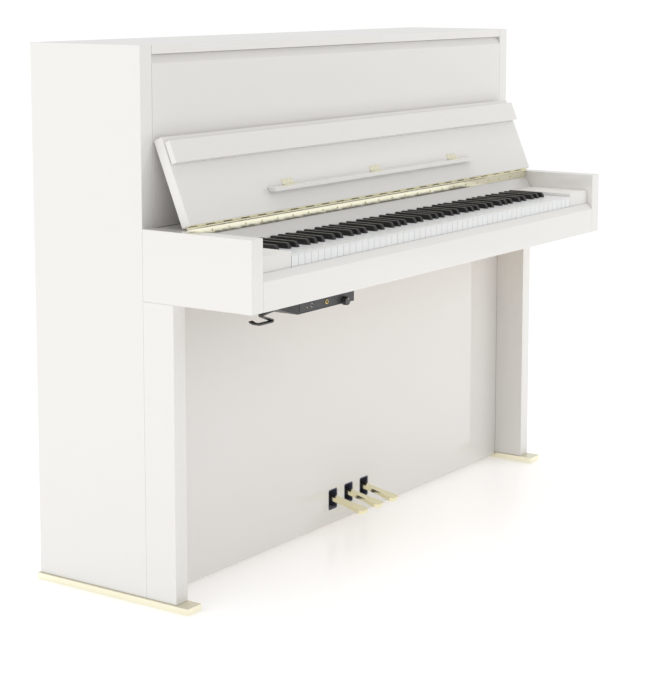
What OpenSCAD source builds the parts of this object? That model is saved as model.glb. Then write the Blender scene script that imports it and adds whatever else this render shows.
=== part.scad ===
/* [Case] */
// Width over the two case sides
case_w = 1516; // [1480:2:1600]
// Height of the case from the floor
case_h = 1178; // [1150:2:1300]
// Depth of the case sides behind the seam with the arms
case_d = 305; // [300:1:360]
// Thickness of the case sides, arms and legs
side_t = 37; // [34:1:40]
// Thickness of the top lid
lid_t = 20; // [16:1:24]
// Thickness of the upper and lower panels
panel_t = 21; // [18:1:24]
// Height of the slope along the top of the upper panel
bevel_h = 18; // [12:1:24]

/* [Base] */
// Height of the brass base strips
strip_h = 15; // [12:1:18]
// How far the strips stand out beyond the case sides
strip_out = 5; // [3:1:8]
// How far the strips run forward of the seam
strip_front = 115; // [100:1:150]
// Depth of the legs in front of the seam
leg_d = 81; // [70:1:95]

/* [Keyboard] */
// How far the arms reach forward of the seam
arm_reach = 283; // [280:1:300]
// Height of the underside of the arms
arm_z = 650; // [640:1:665]
// Height of the arms themselves
arm_h = 151; // [148:1:160]
// Width of one white key with its gap
key_pitch = 23.6; // [23:0.1:23.9]
// Sideways shift of the keyboard from the middle of the case
key_shift = 10; // [0:1:20]
// Length of the full-width front of a white key
white_l = 52; // [50:1:54]

/* [Fallboard] */
// Length of the fallboard from hinge to front edge
board_l = 192; // [186:1:196]
// Thickness of the fallboard
board_t = 23; // [20:1:23]
// Length of the folding front lip
lip_l = 48; // [40:1:49]
// Thickness of the folding front lip
lip_t = 14; // [11:0.5:14.5]
// Length of the folding music ledge
ledge_l = 856; // [700:2:1000]
// How far the open music ledge stands forward
ledge_d = 20; // [18:1:22]

/* [Pedals] */
// Spacing of the three pedals
pedal_gap = 67; // [62:1:76]
// How far the pedals reach forward of the lower panel
pedal_reach = 84; // [75:1:100]
// Width of the pedal stems
pedal_w = 20; // [16:1:22]

/* [Hidden] */
CASE = ["side_left", "side_right", "arm_left", "arm_right", "leg_left", "leg_right"];
BASE = ["base_strip_left", "base_strip_right", "bottom_board", "lower_panel", "upper_panel"];
LID = ["top_lid", "lid_hinge_fixed_leaf", "lid_hinge_moving_leaf"];
FRONT = ["key_bed", "key_slip", "key_blocks", "name_board", "fallboard_hinge_fixed_leaf"];
BOARD = ["fallboard_hinge_moving_leaf", "hinge_screws", "fallboard", "fallboard_lip", "lip_hinges"];
LEDGE = ["music_ledge", "ledge_hinge_fixed_leaves", "ledge_hinge_moving_leaves"];
KEYS_A = ["keys_a", "keys_a_sharp", "keys_b", "keys_c", "keys_c_sharp", "keys_d"];
KEYS_B = ["keys_d_sharp", "keys_e", "keys_f", "keys_f_sharp", "keys_g", "keys_g_sharp"];
BACK = ["key_frame", "back_frame", "pin_block", "iron_plate", "soundboard", "ribs_and_bridge"];
ACTION = ["strings", "tuning_pins", "action_rails", "hammers", "dampers", "muffler_felt"];
PEDALS = ["hammer_rest_rail", "pedal_left", "pedal_middle", "pedal_right", "slot_felts"];
SILENT = ["pedal_bracket", "control_box", "volume_knob", "headphone_hook"];
PART_A = concat(CASE, BASE, LID, FRONT, BOARD, LEDGE);
PART_B = concat(KEYS_A, KEYS_B, BACK, ACTION, PEDALS, SILENT);

// Middle of the depth, so that the origin is under the middle of the whole
mid_y = (case_d + strip_out - arm_reach) / 2;
in_w = case_w / 2 - side_t;
gap = 0.5;
arm_top = arm_z + arm_h;
bed_z = arm_z + 18;
bed_top = bed_z + 32;
lid_z = case_h - lid_t;

// Keyboard heights and lengths
key_z = bed_top + 29;
key_top = key_z + 23;
key_front = -(arm_reach - 15);
key_back = 95;
head_l = white_l;
black_front = key_front + head_l + 1.5;
keys_w = 52 * key_pitch;
front_drop = 7;
keys_x0 = key_shift - keys_w / 2;
black_w = 0.46 * key_pitch;
pivot_y = -50;

// Fallboard hinge axis and the directions along and out of the open board
lean = 22.5;
hinge_y = -(arm_reach - 195.5);
hinge_z = arm_top + 2.5;
board_s0 = 4.5;
face_n = 11;
lip_s = board_l - 8;

// Strung back, from the soundboard forward
string_y = 176;
note_n = 88;
strike_z = 1030;
note_x0 = keys_x0 + 7;
note_dx = (keys_w - 14) / (note_n - 1);
bass_n = 27;
back_y = case_d - 5;
plate_w = 1400;
block_z0 = 1045;
block_z1 = case_h - 43;

// Pedal pivot and slope, and the slots that the pedals pass through
pedal_y = 62;
pedal_z = 84;
pedal_tilt = 12;
slot_w = pedal_w + 17;
slot_h = 50;
slot_z = 67;
toe_w = 1.55 * pedal_w;
toe_r = 9;

// Where note number n of the twelve starts: white index and octave step
function semi(i) = (i + 9) % 12;
function octave(i) = floor((i + 9) / 12);
function white_of(s) = [0, 0, 1, 1, 2, 3, 3, 4, 4, 5, 5, 6][s];
function white_index(i) = octave(i) * 7 + white_of(semi(i)) - 5;
function white_x(i) = keys_x0 + white_index(i) * key_pitch;
function shift_of(s) = [0, -0.11, 0, 0.11, 0, 0, -0.15, 0, 0, 0, 0.15, 0][s] * key_pitch;
function black_x(i) = white_x(i) + key_pitch + shift_of(semi(i));
function string_low(i) = i < bass_n ? 118 : 250 + 780 * (1 - exp(-(i - bass_n) / 26));
function string_lean(i) = i < bass_n ? 0.2 : -0.12;
function note_x(i) = note_x0 + i * note_dx + (i < bass_n ? -8 : 8);
TREBLE = [bass_n, 33, 39, 46, 54, 63, 74, note_n - 1];
function low_x(i) = note_x(i) + (strike_z - string_low(i)) * string_lean(i);

module placed() {
    translate([0, -mid_y, 0])
        children();
}

// A plate of width w along x, drawn as its outline in y and z
module slab_x(x0, w, outline) {
    translate([x0, 0, 0])
        rotate([90, 0, 90])
            linear_extrude(w)
                polygon(outline);
}

// A plate of thickness t along y, drawn as its outline in x and z
module slab_y(y0, t, outline) {
    translate([0, y0 + t, 0])
        rotate([90, 0, 0])
            linear_extrude(t)
                polygon(outline);
}

module block(x0, x1, y0, y1, z0, z1) {
    translate([x0, y0, z0])
        cube([x1 - x0, y1 - y0, z1 - z0]);
}

module rod_x(x0, x1, y, z, r) {
    translate([x0, y, z])
        rotate([0, 90, 0])
            cylinder(h = x1 - x0, r = r, $fn = 20);
}

module mirrored(side) {
    scale([side, 1, 1])
        children();
}

// Children drawn in board axes: x along the hinge, y out of the board, z along it
module board_frame() {
    translate([0, hinge_y, hinge_z])
        rotate([-lean, 0, 0])
            children();
}

module side() {
    color("whitesmoke")
        block(in_w, case_w / 2, 0, case_d, strip_h, case_h);
}

module arm() {
    color("whitesmoke")
        block(in_w, case_w / 2, -arm_reach, 0, arm_z, arm_top);
}

module leg() {
    color("whitesmoke")
        block(in_w - 1, case_w / 2, -leg_d, 0, strip_h, arm_z);
}

module base_strip() {
    color("khaki")
        block(in_w - 4, case_w / 2 + strip_out, -strip_front, case_d + strip_out, 0, strip_h);
}

module bottom_board() {
    color("tan")
        block(-in_w, in_w, panel_t, case_d - 5, strip_h, strip_h + 22);
}

module slot(h, w, r) {
    for (x = [-w / 2 + r, w / 2 - r])
        for (z = [-h / 2 + r, h / 2 - r])
            translate([x, 0, z])
                rotate([-90, 0, 0])
                    cylinder(h = 40, r = r, $fn = 32);
    translate([-w / 2 + r, 0, -h / 2])
        cube([w - 2 * r, 40, h]);
    translate([-w / 2, 0, -h / 2 + r])
        cube([w, 40, h - 2 * r]);
}

module lower_panel() {
    a = in_w - gap;
    b = in_w - 5;
    rim = [[-a, strip_h + gap], [-b, strip_h + gap], [-b, 9], [b, 9], [b, strip_h + gap],
        [a, strip_h + gap], [a, bed_z - 1.5], [-a, bed_z - 1.5]];
    color("whitesmoke")
        difference() {
            slab_y(0, panel_t, rim);
            for (i = [-1, 0, 1])
                translate([i * pedal_gap, -10, slot_z])
                    slot(slot_h, slot_w, 5);
        }
}

module slot_felts() {
    color("midnightblue")
        for (i = [-1, 0, 1])
            translate([i * pedal_gap, 0, slot_z])
                intersection() {
                    translate([-30, 0.6, -40])
                        cube([60, panel_t - 1.2, 80]);
                    difference() {
                        translate([0, -10, 0])
                            slot(slot_h, slot_w, 5);
                        translate([0, -10, 0])
                            slot(slot_h - 7, slot_w - 7, 3);
                    }
                }
}

module upper_panel() {
    z0 = arm_top - 1.5;
    z1 = lid_z - 1;
    rim = [[0, z0], [0, z1 - bevel_h], [11, z1], [panel_t, z1], [panel_t, z0]];
    color("whitesmoke")
        slab_x(-in_w + gap, 2 * (in_w - gap), rim);
}

module top_lid() {
    color("whitesmoke")
        block(-in_w + 1, in_w - 1, 0, case_d, lid_z, case_h);
}

// Lid hinge: leaves under the rear edge of the lid, knuckles just behind it
lid_ax_y = case_d + 2.5;
lid_ax_z = lid_z - 1.6;
lid_seg = (2 * in_w - 40) / 12;

module lid_hinge_fixed_leaf() {
    color("khaki") {
        block(-in_w + 20, in_w - 20, case_d - 22, case_d - 0.4, lid_ax_z - 1.6, lid_ax_z - 0.2);
        rod_x(-in_w + 20, in_w - 20, lid_ax_y, lid_ax_z, 1);
        for (i = [0:2:10]) {
            rod_x(-in_w + 20 + i * lid_seg, -in_w + 19.5 + (i + 1) * lid_seg, lid_ax_y, lid_ax_z, 2.4);
            translate([-in_w + 20 + i * lid_seg, case_d - 1, lid_ax_z - 1.6])
                cube([lid_seg - 0.5, 2.5, 1.4]);
        }
    }
}

module lid_hinge_moving_leaf() {
    color("khaki") {
        block(-in_w + 20, in_w - 20, case_d - 22, case_d - 0.4, lid_ax_z + 0.2, lid_ax_z + 1.6);
        for (i = [1:2:11])
            difference() {
                union() {
                    rod_x(-in_w + 20 + i * lid_seg, -in_w + 19.5 + (i + 1) * lid_seg, lid_ax_y, lid_ax_z, 2.4);
                    translate([-in_w + 20 + i * lid_seg, case_d - 1, lid_ax_z + 0.2])
                        cube([lid_seg - 0.5, 2.5, 1.4]);
                }
                rod_x(-in_w + 19 + i * lid_seg, -in_w + 21 + (i + 1) * lid_seg, lid_ax_y, lid_ax_z, 1.06);
            }
    }
}

module key_bed() {
    color("burlywood")
        block(-in_w, in_w, -(arm_reach - 21), 132, bed_z, bed_top);
}

module key_slip() {
    f = -arm_reach;
    top = key_top - 25;
    rim = [[f, arm_z], [f, top - 15], [f + 13.5, top], [f + 13.5, bed_top],
        [f + 20.9, bed_top], [f + 20.9, arm_z]];
    color("whitesmoke")
        slab_x(-in_w + gap / 2, 2 * in_w - gap, rim);
}

module key_blocks() {
    color("whitesmoke") {
        block(-in_w, keys_x0 - 1.2, key_front, -104, bed_top, key_top + 8);
        block(keys_x0 + keys_w + 1.2, in_w, key_front, -104, bed_top, key_top + 8);
    }
}

module name_board() {
    top = arm_top - 2;
    low = key_top + 5;
    f = hinge_y + 3.5;
    rim = [[f, top], [f, top - 16], [f - 18, low], [f, low], [f + 20, top - 17], [panel_t, top - 17],
        [panel_t, top]];
    color("whitesmoke")
        slab_x(-in_w, 2 * in_w, rim);
}

// Fallboard hinge: knuckles alternate between the two leaves along the whole width
seg_n = 48;
seg = (2 * in_w - 8) / seg_n;

module knuckle(i, r) {
    rod_x(-in_w + 4 + i * seg, -in_w + 3.7 + (i + 1) * seg, hinge_y, hinge_z, r);
}

module fallboard_hinge_fixed_leaf() {
    x0 = -in_w + 4;
    color("khaki") {
        block(x0, in_w - 4, hinge_y + 2.1, hinge_y + 3.5, hinge_z - 18.5, hinge_z - 3.3);
        rod_x(x0, in_w - 4.3, hinge_y, hinge_z, 1.2);
        for (i = [0:2:seg_n - 2]) {
            knuckle(i, 2.9);
            translate([x0 + i * seg, hinge_y + 0.9, hinge_z - 4])
                cube([seg - 0.3, 1.6, 4]);
        }
    }
}

module fallboard_hinge_moving_leaf() {
    x0 = -in_w + 4;
    color("khaki") {
        board_frame()
            block(x0, in_w - 4, -9, 10, 3.1, 4.5);
        for (i = [1:2:seg_n - 1])
            difference() {
                union() {
                    knuckle(i, 2.9);
                    board_frame()
                        block(x0 + i * seg, x0 + (i + 1) * seg - 0.3, -1.6, 1.6, 1.9, 3.6);
                }
                rod_x(x0 + i * seg - 0.6, x0 + (i + 1) * seg + 0.3, hinge_y, hinge_z, 1.27);
            }
    }
}

module hinge_screws() {
    color("khaki")
        for (i = [0:24])
            translate([(i - 12) * (in_w - 30) / 12, hinge_y + 2.1, hinge_z - 11])
                rotate([90, 0, 0])
                    cylinder(h = 0.8, r = 2.6, $fn = 16);
}

// In board axes the board runs up z; the face toward the player is at -y
module fallboard() {
    color("whitesmoke")
        board_frame()
            block(-in_w + 1.5, in_w - 1.5, -face_n, board_t - face_n, board_s0, board_s0 + board_l);
}

module fallboard_lip() {
    n0 = face_n + 0.4;
    color("whitesmoke")
        board_frame()
            difference() {
                block(-in_w + 5, in_w - 5, -n0 - lip_t, -n0, lip_s - lip_l, lip_s);
                for (x = [-480, -160, 160, 480])
                    block(x - 21, x + 21, -n0 - 1.6, -n0 + 1, lip_s - 16, lip_s + 1);
            }
}

// Flush strap hinges between the board and its lip, one leaf on each side of the pivot
module lip_hinges() {
    color("khaki")
        board_frame()
            for (x = [-480, -160, 160, 480])
                block(x - 20, x + 20, -face_n - 1.4, -face_n, lip_s - 15, lip_s - 1);
}

// Music ledge: pivot close to the face, a little under the middle of the board
ledge_s = 60;
ledge_ny = face_n + 1.6;
ledge_y = hinge_y + ledge_s * sin(lean) - ledge_ny * cos(lean);
ledge_z = hinge_z + ledge_s * cos(lean) + ledge_ny * sin(lean);

module music_ledge() {
    rim = [[ledge_y - 2.2, ledge_z - 1.3], [ledge_y - 2.2 - ledge_d, ledge_z - 1.3],
        [ledge_y - 2.2 - ledge_d, ledge_z - 10], [ledge_y - 4.6, ledge_z - 10]];
    color("whitesmoke")
        slab_x(-ledge_l / 2, ledge_l, rim);
}

module ledge_hinge_fixed_leaves() {
    color("khaki")
        for (x = [-0.41, 0, 0.41] * ledge_l) {
            board_frame()
                block(x - 21, x + 21, -face_n - 1.2, -face_n, ledge_s + 1.7, ledge_s + 12);
            rod_x(x - 21, x + 21, ledge_y, ledge_z, 0.7);
            rod_x(x - 21, x - 7.3, ledge_y, ledge_z, 1.4);
            rod_x(x + 7.3, x + 21, ledge_y, ledge_z, 1.4);
            board_frame() {
                block(x - 21, x - 7.3, -ledge_ny, -face_n - 0.1, ledge_s + 0.3, ledge_s + 2.5);
                block(x + 7.3, x + 21, -ledge_ny, -face_n - 0.1, ledge_s + 0.3, ledge_s + 2.5);
            }
        }
}

module ledge_hinge_moving_leaves() {
    color("khaki")
        for (x = [-0.41, 0, 0.41] * ledge_l) {
            block(x - 21, x + 21, ledge_y - 12, ledge_y - 2.2, ledge_z - 1.3, ledge_z - 0.1);
            difference() {
                union() {
                    rod_x(x - 7, x + 7, ledge_y, ledge_z, 1.4);
                    block(x - 7, x + 7, ledge_y - 3, ledge_y, ledge_z - 1.3, ledge_z - 0.1);
                }
                rod_x(x - 8, x + 8, ledge_y, ledge_z, 0.76);
            }
        }
}

// The front part of a white key is full width; behind it the black keys cut it back
module white_key(i) {
    s = semi(i);
    x0 = white_x(i) + 0.5;
    x1 = white_x(i) + key_pitch - 0.5;
    left_black = s == 2 || s == 4 || s == 7 || s == 9 || (s == 11);
    right_black = (s == 0 || s == 2 || s == 5 || s == 7 || s == 9) && i < note_n - 1;
    has_left = left_black && i > 0;
    t0 = has_left ? black_x(i - 1) + black_w / 2 + 0.8 : x0;
    t1 = right_black ? black_x(i + 1) - black_w / 2 - 0.8 : x1;
    translate([0, 0, key_z])
        linear_extrude(key_top - key_z)
            polygon([[x0, key_front], [x1, key_front], [x1, key_front + head_l], [t1, key_front + head_l],
                [t1, key_back], [t0, key_back], [t0, key_front + head_l], [x0, key_front + head_l]]);
    block(x0, x1, key_front, key_front + 1.6, key_z - front_drop, key_z + 1);
}

module black_key(i) {
    b = black_front;
    rim = [[b, key_z], [b, key_top], [b + 4, key_top + 12], [b + 100, key_top + 12],
        [b + 100, key_top - 1], [key_back, key_top - 1], [key_back, key_z]];
    slab_x(black_x(i) - black_w / 2, black_w, rim);
}

module white_keys(s) {
    color("white")
        for (i = [0:note_n - 1])
            if (semi(i) == s)
                white_key(i);
}

module black_keys(s) {
    color("black")
        for (i = [0:note_n - 1])
            if (semi(i) == s)
                black_key(i);
}

module key_frame() {
    color("burlywood") {
        block(keys_x0 - 1, keys_x0 + keys_w + 1, key_front + 8, key_front + 34, bed_top, bed_top + 14);
        slab_x(keys_x0 - 1, keys_w + 2, [[pivot_y - 14, bed_top], [pivot_y - 14, key_z - 3],
            [pivot_y - 4, key_z - 0.5], [pivot_y + 4, key_z - 0.5], [pivot_y + 14, key_z - 3],
            [pivot_y + 14, bed_top]]);
        block(keys_x0 - 1, keys_x0 + keys_w + 1, 70, key_back, bed_top, key_z);
    }
}

module back_frame() {
    y0 = back_y - 59;
    color("tan") {
        block(-in_w, in_w, y0, back_y, block_z0, block_z1);
        block(-in_w, in_w, y0, back_y, strip_h + 22, 117);
        for (i = [-2:2])
            block(i * (in_w - 30) / 2 - 30, i * (in_w - 30) / 2 + 30, y0, back_y, 117, block_z0);
        block(-in_w, in_w, case_d - 22, case_d - 0.4, block_z1, lid_ax_z - 1.6);
    }
}

module pin_block() {
    color("peru")
        block(-plate_w / 2, plate_w / 2, 186, back_y - 59, block_z0, block_z1);
}

// The harp: a rim, a web under the curve of the long bridge, and a pin for the end of each string
module iron_plate() {
    p = plate_w / 2;
    curve = [for (i = TREBLE) [low_x(i), string_low(i) + 5]];
    color("darkgoldenrod") {
        difference() {
            block(-p, p, 186, 213, 80, block_z0);
            slab_y(180, 40, concat([[-p + 40, 215]], curve, [[p - 40, 1000], [p - 40, 1015], [-p + 40, 1015]]));
            slab_y(180, 40, [[low_x(0) - 20, 135], [low_x(bass_n - 1) + 20, 135],
                [low_x(bass_n - 1) + 20, 185], [low_x(0) - 20, 185]]);
            slab_y(196, 40, [[-p + 30, 105], [p - 30, 105], [p - 30, 1015], [-p + 30, 1015]]);
        }
        for (i = [0:note_n - 1])
            translate([low_x(i), string_y + (i < bass_n ? -2.6 : 0.6), string_low(i)])
                rotate([-90, 0, 0])
                    cylinder(h = 12.6 - (i < bass_n ? 0 : 3.2), r = 1.6, $fn = 6);
    }
}

module soundboard() {
    color("burlywood")
        block(-plate_w / 2, plate_w / 2, 213, 221, 80, block_z0);
}

module ribs_and_bridge() {
    y0 = back_y - 59;
    color("wheat") {
        for (i = [0:7])
            block(-plate_w / 2 + 20, plate_w / 2 - 20, 221, y0, 170 + i * 110, 188 + i * 110);
        slab_y(string_y + 0.6, 212.4 - string_y, concat(
            [for (i = TREBLE) [low_x(i), string_low(i) + 34]],
            [for (k = [7:-1:0]) [low_x(TREBLE[k]), string_low(TREBLE[k]) + 7]]));
        block(low_x(0) - 10, low_x(bass_n - 1) + 10, string_y - 2.6, 213, 145, 172);
    }
}

module string_line(i) {
    r = i < bass_n ? 1.4 : 0.6;
    z0 = string_low(i);
    z1 = block_z0 + 12 + 22 * (i % 3);
    dx = note_x(i) - low_x(i);
    a = atan2(dx, strike_z - z0);
    l = (z1 - z0) / cos(a);
    translate([low_x(i), string_y - (i < bass_n ? 4 : 0), z0])
        rotate([0, a, 0])
            cylinder(h = l, r = r, $fn = 6);
}

module strings() {
    color("silver")
        for (i = [0:note_n - 1])
            string_line(i);
}

module tuning_pins() {
    color("silver")
        for (i = [0:note_n - 1])
            translate([note_x(i) - string_lean(i) * (block_z0 + 12 + 22 * (i % 3) - strike_z) + 4.2,
                165, block_z0 + 12 + 22 * (i % 3)])
                rotate([-90, 0, 0])
                    cylinder(h = 21, r = 3.3, $fn = 6);
}

module action_rails() {
    w = plate_w / 2 - 50;
    bracket = [[100, bed_top], [130, bed_top], [130, 880], [158, 890], [158, 912], [130, 918],
        [130, 1000], [108, 1000], [100, 960]];
    color("silver") {
        slab_x(-w - 12, 12, bracket);
        slab_x(w, 12, bracket);
    }
    color("tan")
        block(-w, w, 118, 130, 868, 890);
}

// One hammer: butt, shank and head in y and z, all standing on the same axis
hammer_y = 108;
hammer_z = 900;

module hammers() {
    for (i = [0:note_n - 1]) {
        x = note_x(i);
        color("burlywood") {
            slab_x(x - 4, 8, [[hammer_y - 8, hammer_z - 16], [hammer_y + 8, hammer_z - 16],
                [hammer_y + 8, hammer_z + 12], [hammer_y - 4, hammer_z + 16]]);
            slab_x(x - 2.5, 5, [[hammer_y - 4, hammer_z + 8], [hammer_y + 3, hammer_z + 8],
                [hammer_y - 10, strike_z + 6], [hammer_y - 16, strike_z + 6]]);
        }
        color("ivory")
            slab_x(x - 5, 10, [[hammer_y - 26, strike_z - 4], [hammer_y + 8, strike_z - 13],
                [hammer_y + 20, strike_z], [hammer_y + 8, strike_z + 13], [hammer_y - 26, strike_z + 6]]);
    }
}

module hammer_rest_rail() {
    w = plate_w / 2 - 60;
    color("brown")
        block(-w, w, hammer_y - 28, hammer_y - 14.2, 972, 990);
}

damper_y = 150;
damper_z = 900;

module dampers() {
    color("dimgray") {
        rod_x(-plate_w / 2 + 51, plate_w / 2 - 51, damper_y, damper_z, 4);
        for (i = [0:65]) {
            f = string_y - (i < bass_n ? 5.5 : 0.7);
            slab_x(note_x(i) + 45 * string_lean(i) - 4.5, 9, [[damper_y - 1.5, damper_z],
                [damper_y + 1.5, damper_z], [damper_y + 1.5, 972], [f, 972], [f, 998], [damper_y - 1.5, 998]]);
        }
    }
}

module muffler_felt() {
    w = plate_w / 2 - 60;
    color("brown")
        block(-w, w, 150, 153, 1058, 1100);
    color("silver")
        block(-w, w, 148, 156, 1100, 1108);
}

// A pedal drawn level, pivot at its origin, toe toward -y
module pedal() {
    reach = pedal_y + pedal_reach;
    color("khaki")
        translate([0, pedal_y, pedal_z])
            rotate([pedal_tilt, 0, 0])
                difference() {
                    union() {
                        block(-pedal_w / 2, pedal_w / 2, -reach + 30, 22, -4.5, 4.5);
                        translate([0, 0, -4.5])
                            linear_extrude(9)
                                polygon([[-pedal_w / 2, -reach + 34], [-toe_w / 2, -reach + 4],
                                    [-toe_w / 2, -reach - 13.5 + toe_r], [toe_w / 2, -reach - 13.5 + toe_r],
                                    [toe_w / 2, -reach + 4], [pedal_w / 2, -reach + 34]]);
                        translate([-toe_w / 2 + toe_r, -reach - 13.5, -4.5])
                            cube([toe_w - 2 * toe_r, toe_r + 1, 9]);
                        for (k = [-1, 1])
                            translate([k * (toe_w / 2 - toe_r), -reach - 13.5 + toe_r, -4.5])
                                cylinder(h = 9, r = toe_r, $fn = 48);
                        rod_x(-pedal_w / 2, pedal_w / 2, 0, 0, 8);
                    }
                    rod_x(-pedal_w, pedal_w, 0, 0, 4.06);
                }
}

module pedal_bracket() {
    z0 = strip_h + 22;
    w = pedal_gap + pedal_w / 2 + 9;
    color("dimgray") {
        block(-w, w, pedal_y - 22, pedal_y + 22, z0, z0 + 5);
        rod_x(-w, w, pedal_y, pedal_z, 4);
        for (i = [-1, 0, 1])
            for (k = [-1, 1])
                translate([i * pedal_gap + k * (pedal_w / 2 + 5) - 3, 0, 0])
                    block(0, 6, pedal_y - 10, pedal_y + 10, z0, pedal_z + 10);
    }
}

// Silent-play unit hung under the key bed at the bass end
unit_x = -(in_w - 74);
unit_y = -(arm_reach - 22);

module control_box() {
    rim = [[unit_x, bed_z], [unit_x, arm_z - 5], [unit_x + 74, arm_z - 28], [unit_x + 282, arm_z - 28],
        [unit_x + 282, bed_z]];
    color("dimgray")
        difference() {
            slab_y(unit_y, 112, rim);
            for (x = [124, 176])
                translate([unit_x + x, unit_y - 1, arm_z - 15])
                    rotate([-90, 0, 0])
                        cylinder(h = 33, r = 3.2, $fn = 32);
            translate([unit_x + 242, unit_y - 1, arm_z - 22])
                rotate([-90, 0, 0])
                    cylinder(h = 13, r = 3.05, $fn = 32);
        }
}

module volume_knob() {
    color("dimgray")
        translate([unit_x + 242, unit_y, arm_z - 22])
            rotate([90, 0, 0]) {
                translate([0, 0, 0.3])
                    cylinder(h = 12, r = 9.5, $fn = 48);
                translate([0, 0, -11])
                    cylinder(h = 12, r = 3, $fn = 32);
                translate([-0.6, 3, 12.3])
                    cube([1.2, 6, 0.6]);
            }
}

module headphone_hook() {
    x = unit_x - 8;
    y = unit_y + 1;
    z = arm_z - 30;
    curl = [[x - 1.5, bed_z - 1], [x + 1.5, bed_z - 1], [x + 1.5, z + 20.7], [x - 28, z + 17.2],
        [x + 1.5, z + 5], [x + 1.5, z - 1.5], [x - 47.5, z - 1.5], [x - 47.5, z + 1.5], [x - 1.5, z + 1.5],
        [x - 1.5, z + 3], [x - 35.5, z + 17], [x - 35.5, z + 19.4], [x - 1.5, z + 23.4]];
    tip = [[y + 5, z - 1.5], [y + 20, z - 1.5], [y + 29, z + 2.5], [y + 28, z + 5.3], [y + 19.4, z + 1.5],
        [y + 5, z + 1.5]];
    color("black") {
        block(x - 30, x + 1.5, y, y + 44, bed_z - 3, bed_z);
        slab_y(y, 12, curl);
        slab_x(x - 47.5, 11.5, tip);
    }
}

placed() mirrored(-1) side();  // side_left
placed() side();  // side_right
placed() mirrored(-1) arm();  // arm_left
placed() arm();  // arm_right
placed() mirrored(-1) leg();  // leg_left
placed() leg();  // leg_right
placed() mirrored(-1) base_strip();  // base_strip_left
placed() base_strip();  // base_strip_right
placed() bottom_board();
placed() lower_panel();
placed() upper_panel();
placed() top_lid();
placed() lid_hinge_fixed_leaf();
placed() lid_hinge_moving_leaf();
placed() key_bed();
placed() key_slip();
placed() key_blocks();
placed() name_board();
placed() fallboard_hinge_fixed_leaf();
placed() fallboard_hinge_moving_leaf();
placed() hinge_screws();
placed() fallboard();
placed() fallboard_lip();
placed() lip_hinges();
placed() music_ledge();
placed() ledge_hinge_fixed_leaves();
placed() ledge_hinge_moving_leaves();
placed() white_keys(9);  // keys_a
placed() black_keys(10);  // keys_a_sharp
placed() white_keys(11);  // keys_b
placed() white_keys(0);  // keys_c
placed() black_keys(1);  // keys_c_sharp
placed() white_keys(2);  // keys_d
placed() black_keys(3);  // keys_d_sharp
placed() white_keys(4);  // keys_e
placed() white_keys(5);  // keys_f
placed() black_keys(6);  // keys_f_sharp
placed() white_keys(7);  // keys_g
placed() black_keys(8);  // keys_g_sharp
placed() key_frame();
placed() back_frame();
placed() pin_block();
placed() iron_plate();
placed() soundboard();
placed() ribs_and_bridge();
placed() strings();
placed() tuning_pins();
placed() action_rails();
placed() hammers();
placed() dampers();
placed() muffler_felt();
placed() hammer_rest_rail();
placed() translate([-pedal_gap, 0, 0]) pedal();  // pedal_left
placed() pedal();  // pedal_middle
placed() translate([pedal_gap, 0, 0]) pedal();  // pedal_right
placed() slot_felts();
placed() pedal_bracket();
placed() control_box();
placed() volume_knob();
placed() headphone_hook();
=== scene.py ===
"""Looks of an upright piano in white gloss lacquer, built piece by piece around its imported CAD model."""

import math
import random

import bmesh
import bpy
from mathutils import Matrix, Vector


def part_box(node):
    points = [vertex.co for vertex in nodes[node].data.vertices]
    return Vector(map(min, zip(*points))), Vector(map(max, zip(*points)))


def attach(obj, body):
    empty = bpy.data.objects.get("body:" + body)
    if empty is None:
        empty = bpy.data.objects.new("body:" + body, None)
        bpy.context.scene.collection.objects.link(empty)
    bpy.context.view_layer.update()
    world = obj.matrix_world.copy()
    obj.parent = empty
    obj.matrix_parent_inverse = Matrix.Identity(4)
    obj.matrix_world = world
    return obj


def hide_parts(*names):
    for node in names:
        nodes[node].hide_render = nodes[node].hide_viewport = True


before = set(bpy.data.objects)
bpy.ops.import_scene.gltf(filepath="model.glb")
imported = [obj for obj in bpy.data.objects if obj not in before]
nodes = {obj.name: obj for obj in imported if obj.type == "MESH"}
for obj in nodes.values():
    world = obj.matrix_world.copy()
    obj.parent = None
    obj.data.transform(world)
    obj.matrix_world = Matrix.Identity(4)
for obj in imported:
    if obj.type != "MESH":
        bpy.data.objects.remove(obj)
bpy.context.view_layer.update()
MM = 0.001


# ---------------------------------------------------------------------------
# Case sides, arms and legs.
# Veneered board slabs, sprayed with many coats of white polyester and buffed to a mirror; the edges
# are eased by hand, and each arm and leg is doweled to its side, so a hairline shows at every joint.
# ---------------------------------------------------------------------------
def shade(tree, kind, inputs=None, **settings):
    """A shader node with its settings made and its sockets filled or linked."""
    node = tree.nodes.new(kind)
    for key, value in settings.items():
        setattr(node, key, value)
    for key, value in (inputs or {}).items():
        if isinstance(value, bpy.types.NodeSocket):
            tree.links.new(value, node.inputs[key])
        else:
            node.inputs[key].default_value = value
    return node


def effect(name, takes):
    """A shader node group fed with a place and named values, its input and its output node."""
    group = bpy.data.node_groups.new(name, "ShaderNodeTree")
    kinds = {"v": "NodeSocketFloat", "c": "NodeSocketColor", "d": "NodeSocketVector"}
    for label, (kind, value) in {"Place": ("d", (0, 0, 0)), **takes}.items():
        socket = group.interface.new_socket(name=label, in_out="INPUT", socket_type=kinds[kind])
        socket.default_value = value
    for label, kind in (("Colour", "c"), ("Roughness", "v"), ("Height", "v")):
        group.interface.new_socket(name=label, in_out="OUTPUT", socket_type=kinds[kind])
    return group, group.nodes.new("NodeGroupInput"), group.nodes.new("NodeGroupOutput")


def give(group, gives, colour, rough, height):
    """Links the three results of an effect to its output node."""
    for label, value in (("Colour", colour), ("Roughness", rough), ("Height", height)):
        group.links.new(value, gives.inputs[label])


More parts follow.
